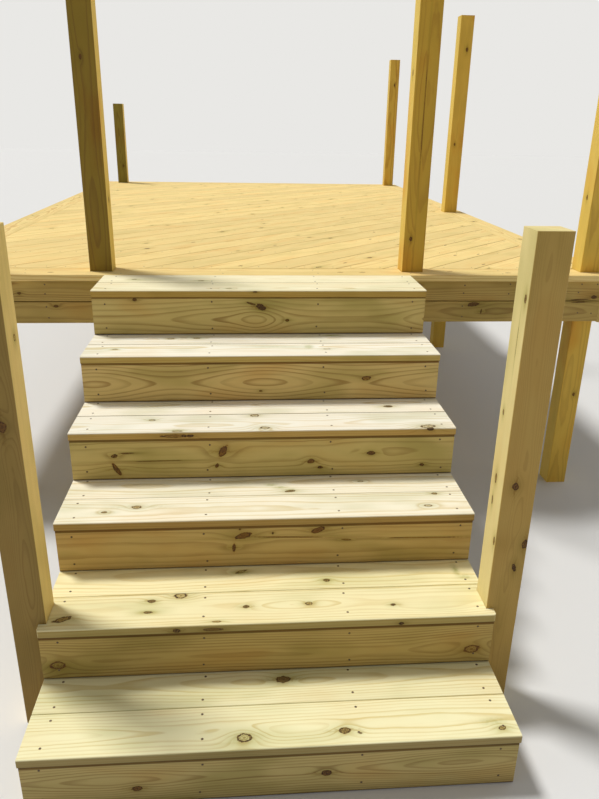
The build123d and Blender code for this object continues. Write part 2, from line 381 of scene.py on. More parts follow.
# Early wood, late wood and knot colours of each finish, and how far it is
# tinted green by its treatment or gold by its resin
LOOKS = {
    "tread_pine": (srgb(252, 243, 204), srgb(226, 204, 142), srgb(112, 88, 54), 0.25, 0.14),
    # The risers' colours are darker than the treads' partly as painted shade, for they face away from the
    # key light
    "riser_pine": (srgb(206, 184, 114), srgb(150, 118, 56), srgb(124, 78, 32), 0.4, 0.3),
    "stringer_pine": (srgb(204, 182, 118), srgb(168, 138, 76), srgb(120, 78, 36), 0.4, 0.3),
    "newel_pine": (srgb(240, 222, 156), srgb(196, 170, 96), srgb(118, 80, 36), 0.25, 0.15),
    "post_pine": (srgb(236, 206, 104), srgb(195, 154, 60), srgb(116, 66, 26), 0.15, 0.5),
    "decking_pine": (srgb(243, 216, 144), srgb(218, 178, 98), srgb(130, 84, 44), 0.18, 0.22),
    "band_pine": (srgb(192, 164, 92), srgb(152, 118, 58), srgb(90, 56, 26), 0.35, 0.3),
    "frame_pine": (srgb(206, 180, 108), srgb(168, 132, 68), srgb(112, 72, 34), 0.35, 0.3),
}
SLOT_OF = {row["node"]: row["material_slot"] for row in frame["record"]["subparts"]}

# Knots as the photograph shows them, in inches: place, place, radius, stretch
# along the board, how filled, how black, and the turn in degrees, if any.
# Risers and bands: x from the middle of the flight, z from the top of the tread
# or deck. Treads: x and the way back from the nosing.
KNOTS = {
    "riser_1": [
        (-0.1, -2.5, 0.42, 1.7, 1.0, 0.95, -24), (-1.5, -2.0, 0.15, 4.5, 0.8, 0.6, -18),
        (3.8, -4.5, 0.2, 1.4, 0.9, 0.6), (-18.2, -1.4, 0.22, 1.3, 0.9, 0.7)],
    "riser_2": [(14.2, -3.5, 0.3, 2.2, 0.6, 0.4, 4), (-0.4, -5.2, 0.12, 2.0, 0.8, 0.5)],
    "riser_3": [
        (-18.9, -3.3, 0.24, 1.8, 0.9, 0.9, 12), (-18.75, -5.15, 0.28, 3.4, 0.9, 0.7, -60),
        (-17.4, -2.95, 0.09, 9.0, 0.8, 0.6, 2), (-13.4, -4.07, 0.06, 45.0, 0.5, 0.3, 1),
        (-5.4, -2.9, 0.42, 2.0, 0.9, 0.35, 62), (-6.2, -4.9, 0.2, 1.6, 1.0, 0.5, 70),
        (13.5, -3.5, 0.28, 1.8, 1.0, 0.6), (5.8, -4.5, 0.32, 1.4, 0.9, 0.4, 10),
        (7.0, -5.4, 0.2, 1.7, 1.0, 0.8), (20.3, -5.3, 0.2, 1.5, 0.9, 0.6)],
    "riser_4": [
        (-2.95, -2.4, 0.36, 2.8, 0.8, 0.4, 14), (-4.03, -4.0, 0.2, 2.6, 1.0, 0.6, 87),
        (5.8, -1.9, 0.36, 2.2, 0.9, 0.3, 22), (2.4, -2.75, 0.07, 56.0, 0.7, 0.3, -2),
        (-3.3, -1.54, 0.1, 1.2, 1.0, 0.8), (0.5, -2.16, 0.1, 1.6, 1.0, 0.8, 88),
        (9.2, -3.3, 0.11, 5.0, 0.5, 0.2, -6), (18.4, -3.3, 0.09, 44.0, 0.45, 0.2, -1)],
    "riser_5": [(-22.6, -4.8, 0.52, 1.5, 0.12, 0.2, 4), (22.1, -4.8, 0.52, 1.6, 0.2, 0.15, 8)],
    "riser_6": [(-13.4, -4.7, 0.3, 1.6, 0.9, 0.5, 10), (5.05, -3.95, 0.38, 1.3, 1.0, 0.75)],
    "tread_1_front": [(-4.7, 1.5, 0.22, 1.8, 0.3, 0.1)],
    "tread_1_back": [(-19.2, 7.8, 0.24, 1.6, 0.5, 0.2), (-9.0, 6.8, 0.24, 1.8, 0.5, 0.3)],
    "tread_2_front": [(-20.2, 3.3, 0.2, 1.6, 0.4, 0.2), (8.9, 2.8, 0.16, 3.2, 0.3, 0.0)],
    "tread_2_back": [(-13.1, 8.2, 0.26, 1.8, 0.4, 0.2), (-9.4, 8.4, 0.26, 1.8, 0.4, 0.2)],
    "tread_3_front": [
        (-1.3, 5.0, 0.36, 1.6, 0.3, 0.8), (-0.1, 0.9, 0.38, 1.5, 0.12, 0.8),
        (20.8, 0.62, 0.5, 1.9, 0.3, 1.0, 6), (-14.5, 3.9, 0.24, 1.6, 0.1, 0.4),
        (-11.0, 0.3, 0.2, 3.0, 0.3, 0.3)],
    "tread_3_back": [(16.9, 7.6, 0.34, 1.8, 0.9, 1.0, 4)],
    "tread_4_front": [
        (-15.4, 3.3, 0.34, 1.6, 0.5, 0.5), (-19.0, 2.3, 0.22, 1.6, 0.7, 0.5),
        (19.2, 2.1, 0.24, 2.0, 0.2, 0.6), (20.7, 5.0, 0.24, 1.5, 0.6, 0.6)],
    "tread_4_back": [(2.9, 6.4, 0.26, 2.6, 0.8, 0.9, 10), (12.0, 8.6, 0.18, 2.0, 0.3, 0.0)],
    "tread_5_front": [
        (-9.9, 5.1, 0.46, 1.4, 0.35, 1.0), (-13.0, 4.3, 0.28, 1.5, 0.9, 0.4),
        (-13.2, 2.4, 0.2, 2.2, 0.8, 0.4), (-2.7, 2.8, 0.26, 1.5, 0.9, 0.6),
        (-22.0, 1.7, 0.36, 2.6, 0.6, 0.3, 24), (4.2, 3.0, 0.26, 1.5, 0.5, 0.8),
        (13.4, 2.3, 0.2, 1.4, 1.0, 0.9), (-5.8, 0.5, 0.14, 3.5, 0.5, 0.2)],
    "tread_5_back": [(6.6, 7.1, 0.26, 1.5, 0.8, 0.6), (-3.2, 9.3, 0.22, 2.8, 0.2, 0.1, 24)],
    "tread_6_front": [
        (-3.0, 1.4, 0.5, 1.45, 0.12, 0.6, 4), (6.9, 1.7, 0.4, 1.4, 0.8, 0.4),
        (22.6, 1.1, 0.26, 1.5, 0.6, 0.5, 10), (8.4, 1.3, 0.1, 1.5, 0.9, 0.5)],
    "tread_6_back": [(1.2, 8.9, 0.48, 1.5, 0.95, 0.1)],
    "band_front_lower": [
        (35.6, -5.1, 0.34, 2.8, 0.85, 0.4, 6), (37.1, -6.3, 0.12, 3.0, 0.9, 0.7, 84),
        (-32.5, -5.3, 0.22, 1.6, 0.7, 0.4), (54.0, -4.75, 0.1, 12.0, 0.8, 0.5, 2)],
    "band_front_upper": [
        (56.3, -3.9, 0.3, 1.6, 0.9, 0.6), (54.0, -4.3, 0.1, 16.0, 0.8, 0.5, 3),
        (-38.0, -3.2, 0.2, 1.6, 0.7, 0.4)],
}
# Knots and marks on the front edges of the treads: x, z from the top of the tread
NOSING_KNOTS = {
    "tread_1_front": [(-0.9, -0.2, 0.12, 2.5, 0.8, 0.5)],
    "tread_3_front": [
        (-11.2, -0.55, 0.2, 8.0, 0.4, 0.7), (20.9, -0.1, 0.24, 1.7, 1.0, 0.6),
        (-10.2, -0.5, 0.16, 1.6, 1.0, 1.0), (-9.4, -0.55, 0.18, 2.2, 0.9, 0.4)],
    "tread_5_front": [
        (-10.0, -0.6, 0.24, 1.6, 1.0, 0.6), (-6.1, -0.6, 0.2, 5.0, 0.6, 0.1),
        (13.9, -0.7, 0.18, 1.5, 1.0, 0.8)],
}
# Knots on posts: face, x or the way back from the deck's edge, z from the deck
POST_KNOTS = {
    "newel_right": [
        ("front", 24.8, -11.5, 0.34, 1.2, 1.0, 0.5), ("front", 25.9, -21.3, 0.2, 2.4, 1.0, 0.8, -16),
        ("front", 26.7, -18.4, 0.34, 1.5, 0.8, 0.6), ("left", -47.9, -11.6, 0.24, 2.2, 0.6, 0.4, 4),
        ("left", -47.7, -14.3, 0.15, 3.4, 0.8, 0.6, 4), ("left", -47.6, -4.3, 0.16, 2.0, 0.8, 0.5),
        ("left", -49.3, 7.7, 0.24, 1.8, 0.8, 0.5), ("left", -49.6, -18.2, 0.22, 2.0, 0.7, 0.5),
        ("left", -48.6, 3.2, 0.05, 28.0, 0.4, 0.0)],
    "newel_left": [("front", -25.0, -4.1, 0.42, 1.3, 1.0, 0.3)],
    "head_post_right": [
        ("front", 24.6, 5.4, 0.24, 1.5, 0.9, 0.5), ("front", 25.2, 24.0, 0.07, 90.0, 0.3, 0.0),
        ("left", 4.6, 30.0, 0.24, 1.8, 0.8, 0.4)],
    "head_post_left": [
        ("right", 4.6, 10.9, 0.28, 1.6, 0.8, 0.4), ("front", -25.6, 31.0, 0.2, 1.8, 0.7, 0.3)],
    "post_mid_right": [
        ("front", 56.2, 41.3, 0.3, 1.5, 0.9, 0.5), ("front", 55.2, 18.0, 0.2, 1.6, 0.8, 0.5)],
    "post_front_right": [
        ("left", 4.6, 12.0, 0.24, 1.5, 0.9, 0.5), ("front", 56.4, -22.0, 0.22, 1.5, 0.8, 0.5)],
}
# Dark specks and short streaks of the deck: x, the way back from its edge
DECK_SPECKS = ((24.2, 38.1), (26.9, 48.5), (-3.1, 7.9), (1.0, 23.6), (3.7, 29.6), (-12.6, 32.9),
               (2.2, 70.3), (15.2, 10.9), (32.9, 29.2), (37.1, 18.9), (41.9, 20.1), (39.6, 9.8),
               (38.4, 30.6))
EDGE_SPECKS = ((13.2, 2.4), (16.9, 2.4), (41.3, 2.2), (31.8, 3.4), (-33.0, 2.0), (-44.0, 3.6))

# Knots spread by chance, one in each cell of a post or board, and how far a
# knot goes into the wood where it must not come out on the other faces, as near
# a tread's nosing, which is in inches
KNOT_CELL = 0.42
WIDE_KNOT_CELL = 0.6
THROUGH = 1.0
NEAR_NOSING = 0.8
EDGE_KNOT_DEPTH = 0.009
NOSING_KNOT_DEPTH = 0.008
POST_KNOT_DEPTH = 0.03
SPECKS_DARK = 0.4

# Where the rings close in eyes, in inches: place, place, half length, half
# width, and how many rings deep
EYES = {
    "riser_1": [(-0.5, -4.3, 3.0, 3.0, -2.1), (-5.6, -4.3, 8.0, 3.0, -1.9), (26.0, -4.3, 5.0, 3.0, -2.2)],
    "riser_2": [
        (-22.8, -3.9, 6.5, 3.0, -3.1), (0.3, -3.9, 8.2, 3.0, -3.2), (27.5, -4.0, 11.0, 3.0, -3.2)],
    "riser_5": [(-24.0, -4.6, 3.0, 3.0, -1.8), (24.5, -4.2, 7.5, 3.0, -2.8)],
    "riser_6": [(-16.0, -2.9, 7.5, 3.0, -2.4), (18.0, -3.7, 8.0, 3.0, -2.7)],
    "tread_6_front": [(-20.0, 2.6, 6.0, 0.9, -1.8), (2.0, 2.2, 6.0, 1.0, -1.6)],
    "tread_5_front": [(3.6, 2.9, 5.0, 1.2, -2.0), (17.5, 1.6, 4.5, 0.9, -1.5)],
    "tread_6_back": [(2.0, 8.6, 7.0, 1.3, -2.2)],
}
# Green marks that the treatment left on the treads, in inches: x, the way back
# from the nosing, half length, half width, and how green
GREEN_MARKS = {
    "tread_2_front": [(0.8, 4.0, 3.8, 0.5, 0.9), (6.5, 3.9, 0.6, 0.9, 1.3)],
    "tread_2_back": [(10.4, 9.5, 1.3, 0.35, 1.8)],
    "tread_3_front": [(-11.1, 0.5, 1.7, 0.45, 1.5)],
    "tread_4_front": [(-15.0, 3.4, 4.4, 0.6, 0.8), (-18.9, 2.2, 1.4, 0.5, 1.0)],
    "tread_4_back": [(0.6, 8.1, 0.8, 0.4, 1.4), (1.7, 7.4, 0.9, 0.4, 1.5), (2.8, 6.7, 1.0, 0.45, 1.6)],
    "tread_5_back": [(-3.4, 9.1, 1.2, 0.45, 1.9), (22.1, 8.2, 0.4, 1.2, 1.5), (22.9, 6.9, 1.0, 0.5, 1.2)],
    "tread_6_front": [(22.0, 1.9, 1.4, 0.6, 1.0)],
}
# How far the rings wander, and how much wider or finer than by chance they are
# on boards with a known pith and on posts of fine grain
WANDER = 0.05
DEEP_PITH_RINGS = 1.3
SHALLOW_PITH_RINGS = 2.6
FINE_RINGS = 0.5
# Boards whose pith the pattern of their face gives away: its place across the
# board and its depth, in inches
PITH = {
    "riser_1": (-0.6, 0.95), "riser_2": (-0.25, 0.95), "riser_3": (0.4, 4.0), "riser_4": (-0.2, 3.6),
    "riser_5": (-0.7, 1.3), "riser_6": (0.3, 1.1), "tread_5_front": (0.2, 3.0),
    "tread_6_front": (-0.4, 3.0),
}
# Posts of finer grain, and the painted shade that darkens the front face of a post against its other faces:
# how much, and which tint
FINE_GRAIN = ("newel_left", "newel_right")
FRONT_SHADE = {
    "newel_right": (0.78, srgb(180, 148, 68)), "newel_left": (1.0, srgb(158, 149, 130)),
    "head_post_left": (1.0, srgb(153, 145, 106)), "head_post_right": (1.0, srgb(219, 201, 149)),
    "post_back_left": (1.0, srgb(150, 155, 127)),
}
POST_FRONT_SHADE = (1.0, srgb(244, 231, 196))
# Each face of a post: whether its knots are seen along the across axis, and
# which side of the post they are on
POST_FACES = {"front": ("through", -1), "back": ("through", 1),
              "left": ("across", -1), "right": ("across", 1)}

# The painted shade on the front face of each tread's nosing, as a tint on its top's colour, and where its
# rounded upper edge ends and the painted shade begins, below the top
NOSING_SHADES = (srgb(190, 163, 96), srgb(195, 172, 105), srgb(199, 169, 103), srgb(178, 153, 98),
                srgb(179, 167, 132), srgb(168, 154, 125))
NOSING_EDGE = (0.001, 0.0052)

# Ramps at the edges of boards, as distances from the edge: where a front face takes its painted shade, and
# where the thin lines of painted shade begin and are full
NOSING_FACE = (0.0034, 0.0012)
POST_FACE = (0.004, 0.001)
NOSING_LINE_RISE = (0.0036, 0.0014)
NOSING_LINE_DEPTH = (0.008, 0.004)
BOARD_LINE = (0.0018, 0.0006)
RISER_FOOT_LINE = (0.0046, 0.0012)
RISER_TOP_LINE = (0.003, -0.0012)
# The painted shadow line under a nosing: how far down it is on the top riser, and how much further on each
# next one, and how strong it is under the top tread
RISER_LINE_DROP = 0.0032
RISER_LINE_MORE = 0.0015
TOP_NOSING_LINE = 0.35

# The wood's relief and gloss
RELIEF_STRENGTH = 0.6
RELIEF_DEPTH = 0.0006
GLOSS = 0.3

# How strong the grain shows, where it isn't full strength
CONTRAST = {"riser_1": 0.85, "riser_2": 0.75, "riser_3": 0.6, "riser_4": 0.65, "riser_5": 0.8,
            "riser_6": 0.9, "field_boards": 0.6, "newel_right": 0.4, "newel_left": 0.6,
            "head_post_right": 0.5, "head_post_left": 0.7, "post_front_right": 0.5, "post_mid_right": 0.6}
TREAD_CONTRAST = 0.8

# Boards that are paler, darker or yellower than the others of their kind: factors on their red, green and
# blue. The paler, bluer tone of treads 2 to 4 is painted light, the gold of newel_left is painted warm
# bounced light, and riser_4 is darker partly from painted shade
TONES_AND_LIGHT = {"tread_2": (1.01, 1.04, 1.28), "tread_3": (1.01, 1.04, 1.28), "tread_4": (1.01, 1.02, 1.16),
         "tread_5": (1.0, 0.98, 0.84), "tread_6": (0.95, 0.96, 0.86), "riser_2": (1.12, 1.06, 1.12),
         "riser_4": (0.93, 0.85, 0.83), "riser_5": (0.82, 0.76, 0.68), "riser_6": (0.84, 0.84, 0.9),
         "newel_left": (1.04, 0.92, 0.72)}


class Grain:
    """Where a board lies in its log, and what knots it has, in the board's own directions."""

    def __init__(self, name):
        chance = random.Random(name)
        self.name = name
        low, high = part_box(name)
        self.centre = (low + high) / 2
        self.along, self.across = next(way for start, way in WAYS.items() if name.startswith(start))
        self.through = self.along.cross(self.across)
        self.board_pitch = BOARD_PITCH if name == "field_boards" else 0.0
        self.wander = WANDER
        self.seed = chance.uniform(0.0, 40.0)
        self.pith_across = chance.uniform(-0.03, 0.03)
        self.pith_through = chance.choice((-1, 1)) * chance.uniform(0.045, 0.11)
        self.taper = chance.uniform(-0.008, 0.008)
        self.ring = chance.uniform(0.0048, 0.0078)
        shade = chance.uniform(-0.04, 0.04)
        self.tone = [part * (1 + shade) for part in TONES_AND_LIGHT.get(name, TONES_AND_LIGHT.get(name[:7], (1, 1, 1)))]
        if name in PITH:
            place, depth = PITH[name]
            self.pith_across = place * INCH
            self.pith_through = depth * INCH
            self.ring *= DEEP_PITH_RINGS if depth > 1 else SHALLOW_PITH_RINGS
            self.taper *= 0.3
            self.wander *= 0.5
        if name in FINE_GRAIN:
            self.ring *= FINE_RINGS
        self.contrast = CONTRAST.get(name, TREAD_CONTRAST if name.startswith("tread_") else 1.0)
        self.shaded_face = None
        self.shade_below = None
        self.lines = []
        self.specks = []
        self.knots = []
        self.eyes = []
        self.marks = []

    def add_knot(self, point, radius, stretch, fill, black, turn=0, face="through", depth=THROUGH):
        offset = point - self.centre
        side, deep = (self.through, self.across) if face == "across" else (self.across, self.through)
        self.knots.append((face, offset.dot(self.along), offset.dot(side), offset.dot(deep), radius * INCH,
                           stretch, depth, fill, black, math.radians(turn)))

    def add_eye(self, point, length, width, rings):
        offset = point - self.centre
        self.eyes.append((offset.dot(self.along), offset.dot(self.across), length * INCH, width * INCH,
                          rings * self.ring))

    def add_mark(self, point, length, width, amount):
        offset = point - self.centre
        self.marks.append((offset.dot(self.along), offset.dot(self.across), length * INCH, width * INCH,
                           amount))

    def add_specks(self, places):
        for x, y in places:
            offset = flight_point(x, y, 0) - self.centre
            self.specks.append((offset.dot(self.along), offset.dot(self.across)))

    def scatter_knots(self, faces, cell=KNOT_CELL):
        chance = random.Random(self.name + "_knots")
        low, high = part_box(self.name)
        size = high - low
        length = abs(size.dot(self.along))
        half_across = abs(size.dot(self.across)) / 2
        half_through = abs(size.dot(self.through)) / 2
        cells = max(1, int(length / cell))
        for k in range(cells):
            face, sign = chance.choice(faces)
            depth = POST_KNOT_DEPTH if sign else THROUGH
            half, deep = (half_through, half_across) if face == "across" else (half_across, half_through)
            place = (-0.5 + (k + chance.uniform(0.15, 0.85)) / cells) * length
            self.knots.append((face, place, chance.uniform(-0.8, 0.8) * min(half, 0.07), sign * deep,
                               chance.uniform(0.14, 0.36) * INCH, chance.uniform(1.3, 2.0), depth,
                               chance.choice((0.2, 0.7, 1.0)), chance.uniform(0.0, 0.6),
                               math.radians(chance.uniform(-12, 12))))


def toned(color, tone):
    return tuple(min(value * part, 1.0) for value, part in zip(color, tone)) + (1.0,)


# Where a board's front face takes a painted shade, its tint, and the thin lines of painted shade at its
# edges
def painted_edge_shade(graph, grain, places):
    edge, shade_lines, tint = 0.0, 0.0, srgb(255, 255, 255)
    if grain.shaded_face:
        axis, start, end, amount, tint = grain.shaded_face
        edge = graph.mul(graph.smooth(places[axis], start, end), amount)
    if grain.shade_below:
        edge = graph.mul(edge, graph.smooth(places["through"], *grain.shade_below))
    for shown, *ramps in grain.lines:
        for axis, start, end in ramps:
            shown = graph.mul(shown, graph.smooth(places[axis], start, end))
        shade_lines = graph.larger(shade_lines, shown)
    return edge, tint, shade_lines


# The material of one CAD node, or of every board in a row of like boards
def pine(grain):
    material, graph, shader = new_material("pine_" + grain.name)
    place = graph.node("ShaderNodeTexCoord").outputs["Object"]
    offset = graph.node("ShaderNodeVectorMath", operation="SUBTRACT")
    graph.feed(offset.inputs[0], place)
    graph.feed(offset.inputs[1], grain.centre)
    local = offset.outputs[0]
    along = graph.dot(local, grain.along)
    across = graph.dot(local, grain.across)
    through = graph.dot(local, grain.through)
    whole_across = across
    seed = grain.seed
    pith_across = grain.pith_across
    pith_through = grain.pith_through
    early, late, knot, green, gold = LOOKS[SLOT_OF[grain.name]]
    early, late = toned(early, grain.tone), toned(late, grain.tone)
    late = tuple(a + (b - a) * grain.contrast for a, b in zip(early, late))
    stain, rim, halo, bulge, dark = 0.0, 0.0, 0.0, 0.0, 0.0
    edge, tint, shade_lines = painted_edge_shade(graph, grain, {"across": across, "through": through})
    uneven = graph.noise(local, scale=95.0, detail=2.0)
    fine = graph.noise(local, scale=310.0, detail=1.0)
    if grain.board_pitch:
        index = graph.math("ROUND", graph.div(across, grain.board_pitch))
        across = graph.sub(across, graph.mul(index, grain.board_pitch))
        seed = graph.add(graph.mul(graph.random(index), 60.0), grain.seed)
        pith_across = graph.mul(graph.sub(graph.random(graph.add(index, 0.3)), 0.5), 0.12)
        pith_through = graph.sub(graph.mul(graph.random(graph.add(index, 0.6)), -0.08), 0.03)
        stain, rim, halo, bulge = scattered_knots(graph, along, across, seed, uneven, fine)
        # Thin lines of painted shade along each deck board's long edges, broken up along the board
        shade_lines = graph.smooth(graph.math("ABSOLUTE", across), *(BOARD_WIDTH / 2 - end for end in BOARD_LINE))
        line_breaks = graph.noise(graph.combine(graph.mul(along, 1.6), index, 3.0), detail=1.0)
        shade_lines = graph.mul(shade_lines, graph.smooth(line_breaks, 0.36, 0.66))
        pale = graph.random(graph.add(index, 0.9))
        early = graph.mix(pale, toned(early, (0.9, 0.9, 0.9)), toned(early, (1.06, 1.06, 1.06)))
    for face, u, v, w, radius, stretch, depth, fill, black, turn in grain.knots:
        side, deep = (through, whole_across) if face == "across" else (whole_across, through)
        made = graph.group(KNOT, U=along, V=side, W=deep, KnotU=u, KnotV=v, KnotW=w, Cos=math.cos(turn),
                           Sin=math.sin(turn), Radius=radius, Stretch=stretch, Depth=depth,
                           Swell=1.9 - fill, Fill=fill, Uneven=uneven, Fine=fine)
        stain = graph.larger(stain, made["Stain"])
        rim = graph.larger(rim, made["Rim"])
        halo = graph.larger(halo, made["Halo"])
        bulge = graph.add(bulge, made["Bulge"])
        dark = graph.larger(dark, graph.mul(made["Halo"], black))
    if grain.specks:
        stain = graph.larger(stain, specks(graph, grain.specks, along, whole_across))
        dark = graph.larger(dark, SPECKS_DARK)
    for u, v, length, width, rise in grain.eyes:
        made = graph.group(SWELL, U=along, V=whole_across, SwellU=u, SwellV=v, Length=length, Width=width,
                           Rise=rise)
        bulge = graph.add(bulge, made["Bulge"])
    for u, v, length, width, amount in grain.marks:
        made = graph.group(SWELL, U=along, V=whole_across, SwellU=u, SwellV=v, Length=length, Width=width,
                           Rise=amount)
        halo = graph.larger(halo, graph.mul(made["Bulge"], graph.add(0.3, graph.mul(uneven, 1.4))))
    dark = graph.mul(dark, graph.add(0.3, graph.smooth(fine, 0.34, 0.6)))
    made = graph.group(PINE, Along=along, Across=across, Through=through, PithAcross=pith_across,
                       PithThrough=pith_through, Taper=grain.taper, Pitch=grain.ring, Seed=seed,
                       Bulge=bulge, Stain=stain, Rim=rim, Halo=halo, Dark=dark, Green=green, Gold=gold,
                       Wander=grain.wander, Edge=edge, Gap=shade_lines, Early=early, Late=late, Knot=knot,
                       EdgeTint=tint)
    bump = graph.node("ShaderNodeBump")
    bump.inputs["Strength"].default_value = RELIEF_STRENGTH
    bump.inputs["Distance"].default_value = RELIEF_DEPTH
    graph.feed(bump.inputs["Height"], made["Height"])
    graph.feed(shader.inputs["Base Color"], made["Color"])
    graph.feed(shader.inputs["Roughness"], made["Rough"])
    graph.feed(shader.inputs["Normal"], bump.outputs["Normal"])
    shader.inputs["Specular IOR Level"].default_value = GLOSS
    return material


# Knots spread by chance over a row of boards, one in some of the cells
def scattered_knots(graph, along, across, seed, uneven, fine):
    spread = graph.node("ShaderNodeTexVoronoi", voronoi_dimensions="1D")
    graph.feed(spread.inputs["W"], graph.add(graph.div(along, KNOT_CELL), graph.mul(seed, 3.1)))
    spread.inputs["Scale"].default_value = 1.0
    distance = graph.mul(spread.outputs["Distance"], KNOT_CELL)
    colour = graph.node("ShaderNodeSeparateColor")
    graph.feed(colour.inputs["Color"], spread.outputs["Color"])
    red, green, blue = colour.outputs
    side = graph.mul(graph.sub(red, 0.5), 0.11)
    radius = graph.mul(graph.smooth(green, 0.35, 1.0), 0.008)
    made = graph.group(KNOT, U=distance, V=across, W=0.0, KnotU=0.0, KnotV=side, KnotW=0.0, Cos=1.0,
                       Sin=0.0, Radius=graph.add(radius, 0.0006), Stretch=1.6, Depth=THROUGH, Swell=1.0,
                       Fill=blue, Uneven=uneven, Fine=fine)
    real = graph.math("GREATER_THAN", green, 0.68)
    return tuple(graph.mul(made[key], real) for key in ("Stain", "Rim", "Halo", "Bulge"))


# Small dark specks and streaks at given places
def specks(graph, places, along, across):
    spot = graph.combine(graph.mul(along, 1 / SPECK_STRETCH), across, 0.0)
    nearest = 1.0
    for u, v in places:
        made = graph.node("ShaderNodeVectorMath", operation="DISTANCE")
        graph.feed(made.inputs[0], spot)
        graph.feed(made.inputs[1], (u / SPECK_STRETCH, v, 0.0))
        nearest = graph.math("MINIMUM", nearest, made.outputs["Value"])
    uneven = graph.noise(graph.combine(graph.mul(along, 60.0), graph.mul(across, 160.0), 0.0), detail=3.0)
    nearest = graph.mul(nearest, graph.add(0.5, uneven))
    return graph.fade(nearest, SPECK_RADIUS * 0.4, SPECK_RADIUS)


def ramp(axis, edge, ends):
    """A ramp from one distance to another from a board's edge, which is given from its middle."""
    sign = 1 if edge > 0 else -1
    return (axis, *(edge - sign * end for end in ends))


# A tread board: x from the flight's middle and the way back from the nosing
def mark_tread(grain, high, half):
    name = grain.name
    step = int(name.split("_")[1])
    nose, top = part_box("tread_%d_front" % step)[0].y, high.z
    if name.endswith("front"):
        # The nosing's front face takes a painted shade below its rounded upper edge, with a line of painted
        # shadow along its lower edge
        grain.shaded_face = (*ramp("across", -half.y, NOSING_FACE), 1.0, NOSING_SHADES[step - 1])
        grain.shade_below = [half.z - drop for drop in NOSING_EDGE]
        grain.lines = [(TOP_NOSING_LINE if step == 1 else 1.0, ramp("through", -half.z, NOSING_LINE_RISE),
                        ramp("across", -half.y, NOSING_LINE_DEPTH))]
    # A line of painted shade at the seam between the two boards of the lower treads
    if step < 4:
        sign = 1 if name.endswith("front") else -1
        grain.lines.append((1.0, ramp("across", sign * half.y, BOARD_LINE)))
    for x, back, *rest in KNOTS[name]:
        depth = EDGE_KNOT_DEPTH if back < NEAR_NOSING else THROUGH
        grain.add_knot(face_point(x, nose + back * INCH, top), *rest, depth=depth)
    for x, drop, *rest in NOSING_KNOTS.get(name, ()):
        grain.add_knot(face_point(x, nose, top + drop * INCH), *rest, face="across",
                       depth=NOSING_KNOT_DEPTH)
    for x, back, *rest in EYES.get(name, ()):
        grain.add_eye(face_point(x, nose + back * INCH, top), *rest)
    for x, back, *rest in GREEN_MARKS.get(name, ()):
        grain.add_mark(face_point(x, nose + back * INCH, top), *rest)


# A riser: x from the flight's middle and z from the top of the tread
def mark_riser(grain, low, half):
    step = int(grain.name.split("_")[1])
    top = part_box("tread_%d_front" % step)[1].z
    # Lines of painted shadow under the nosing above and at the riser's foot
    shadow = half.z - RISER_LINE_DROP - RISER_LINE_MORE * step
    grain.lines = [(1.0, ramp("across", shadow, RISER_TOP_LINE)),
                   (1.0, ramp("across", -half.z, RISER_FOOT_LINE))]
    for x, drop, *rest in KNOTS[grain.name]:
        grain.add_knot(face_point(x, low.y, top + drop * INCH), *rest)
    for x, drop, *rest in EYES.get(grain.name, ()):
        grain.add_eye(face_point(x, low.y, top + drop * INCH), *rest)


# A post: the knots that the photograph shows, and others by chance on the faces
# that it hides
def mark_post(grain, low, high, half):
    name = grain.name
    # The front face of the post takes a painted shade
    grain.shaded_face = (*ramp("through", -half.y, POST_FACE), *FRONT_SHADE.get(name, POST_FRONT_SHADE))
    for side, place, rise, *rest in POST_KNOTS.get(name, ()):
        face, sign = POST_FACES[side]
        point = flight_point(place, place, rise)
        if face == "through":
            point.y = low.y if sign < 0 else high.y
        else:
            point.x = low.x if sign < 0 else high.x
        grain.add_knot(point, *rest, face=face, depth=POST_KNOT_DEPTH)
    hidden = ("back", "right") if name in POST_KNOTS else POST_FACES
    grain.scatter_knots([POST_FACES[side] for side in hidden])


def mark_board(grain):
    name = grain.name
    low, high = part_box(name)
    half = (high - low) / 2
    if name.startswith("tread_"):
        mark_tread(grain, high, half)
    elif name.startswith("riser_"):
        mark_riser(grain, low, half)
    elif name in KNOTS:
        for x, drop, *rest in KNOTS[name]:
            grain.add_knot(flight_point(x, 0, drop), *rest)
    elif name in POST_KNOTS or name.startswith("post_"):
        mark_post(grain, low, high, half)
    elif name == "field_boards":
        grain.add_specks(DECK_SPECKS)
    elif name == "border_front":
        grain.add_specks(EDGE_SPECKS)
    else:
        grain.scatter_knots([("through", 0)], WIDE_KNOT_CELL)


def dress_nodes():
    for name, node in frame["nodes"].items():
        grain = Grain(name)
        mark_board(grain)
        node.data.materials.clear()
        node.data.materials.append(pine(grain))


# Nails: columns over the stringers and rows on each step, x and z on the front
# band, and z of the seam between the band's two boards, all in inches
NAIL_COLUMNS = (-22.3, -7.2, 8.4, 22.6)
TREAD_NAIL_ROWS = (1.35, 4.65, 6.5, 9.9)
RISER_NAIL_ROWS = (-1.9, -5.6)
BAND_NAILS = ((33.9, -1.9), (33.8, -3.2), (41.6, -1.7), (41.5, -3.3), (53.9, -1.7), (56.6, -1.7),
              (53.5, -3.1), (56.3, -6.7), (53.9, -6.6), (-33.9, -1.8), (-34.0, -3.3), (-44.2, -1.9),
              (-44.0, -3.2), (33.8, -5.4), (33.9, -7.2), (-34.0, -5.4), (-33.8, -7.2), (-54.0, -1.8),
              (-54.1, -6.8))
BAND_SEAM = -4.5
# One nail head from its burr in the wood to its crown: radius and height in nail radii. The first three
# bands between these rings are bruised wood, darker partly as painted shade of the dimple round the head
NAIL_PROFILE = ((1.4, -0.06), (1.28, 0.035), (1.12, 0.045), (1.04, -0.03), (1.0, 0.07), (0.82, 0.12),
                (0.4, 0.14))
NAIL_SIDES = 10
WOOD_BANDS = 3
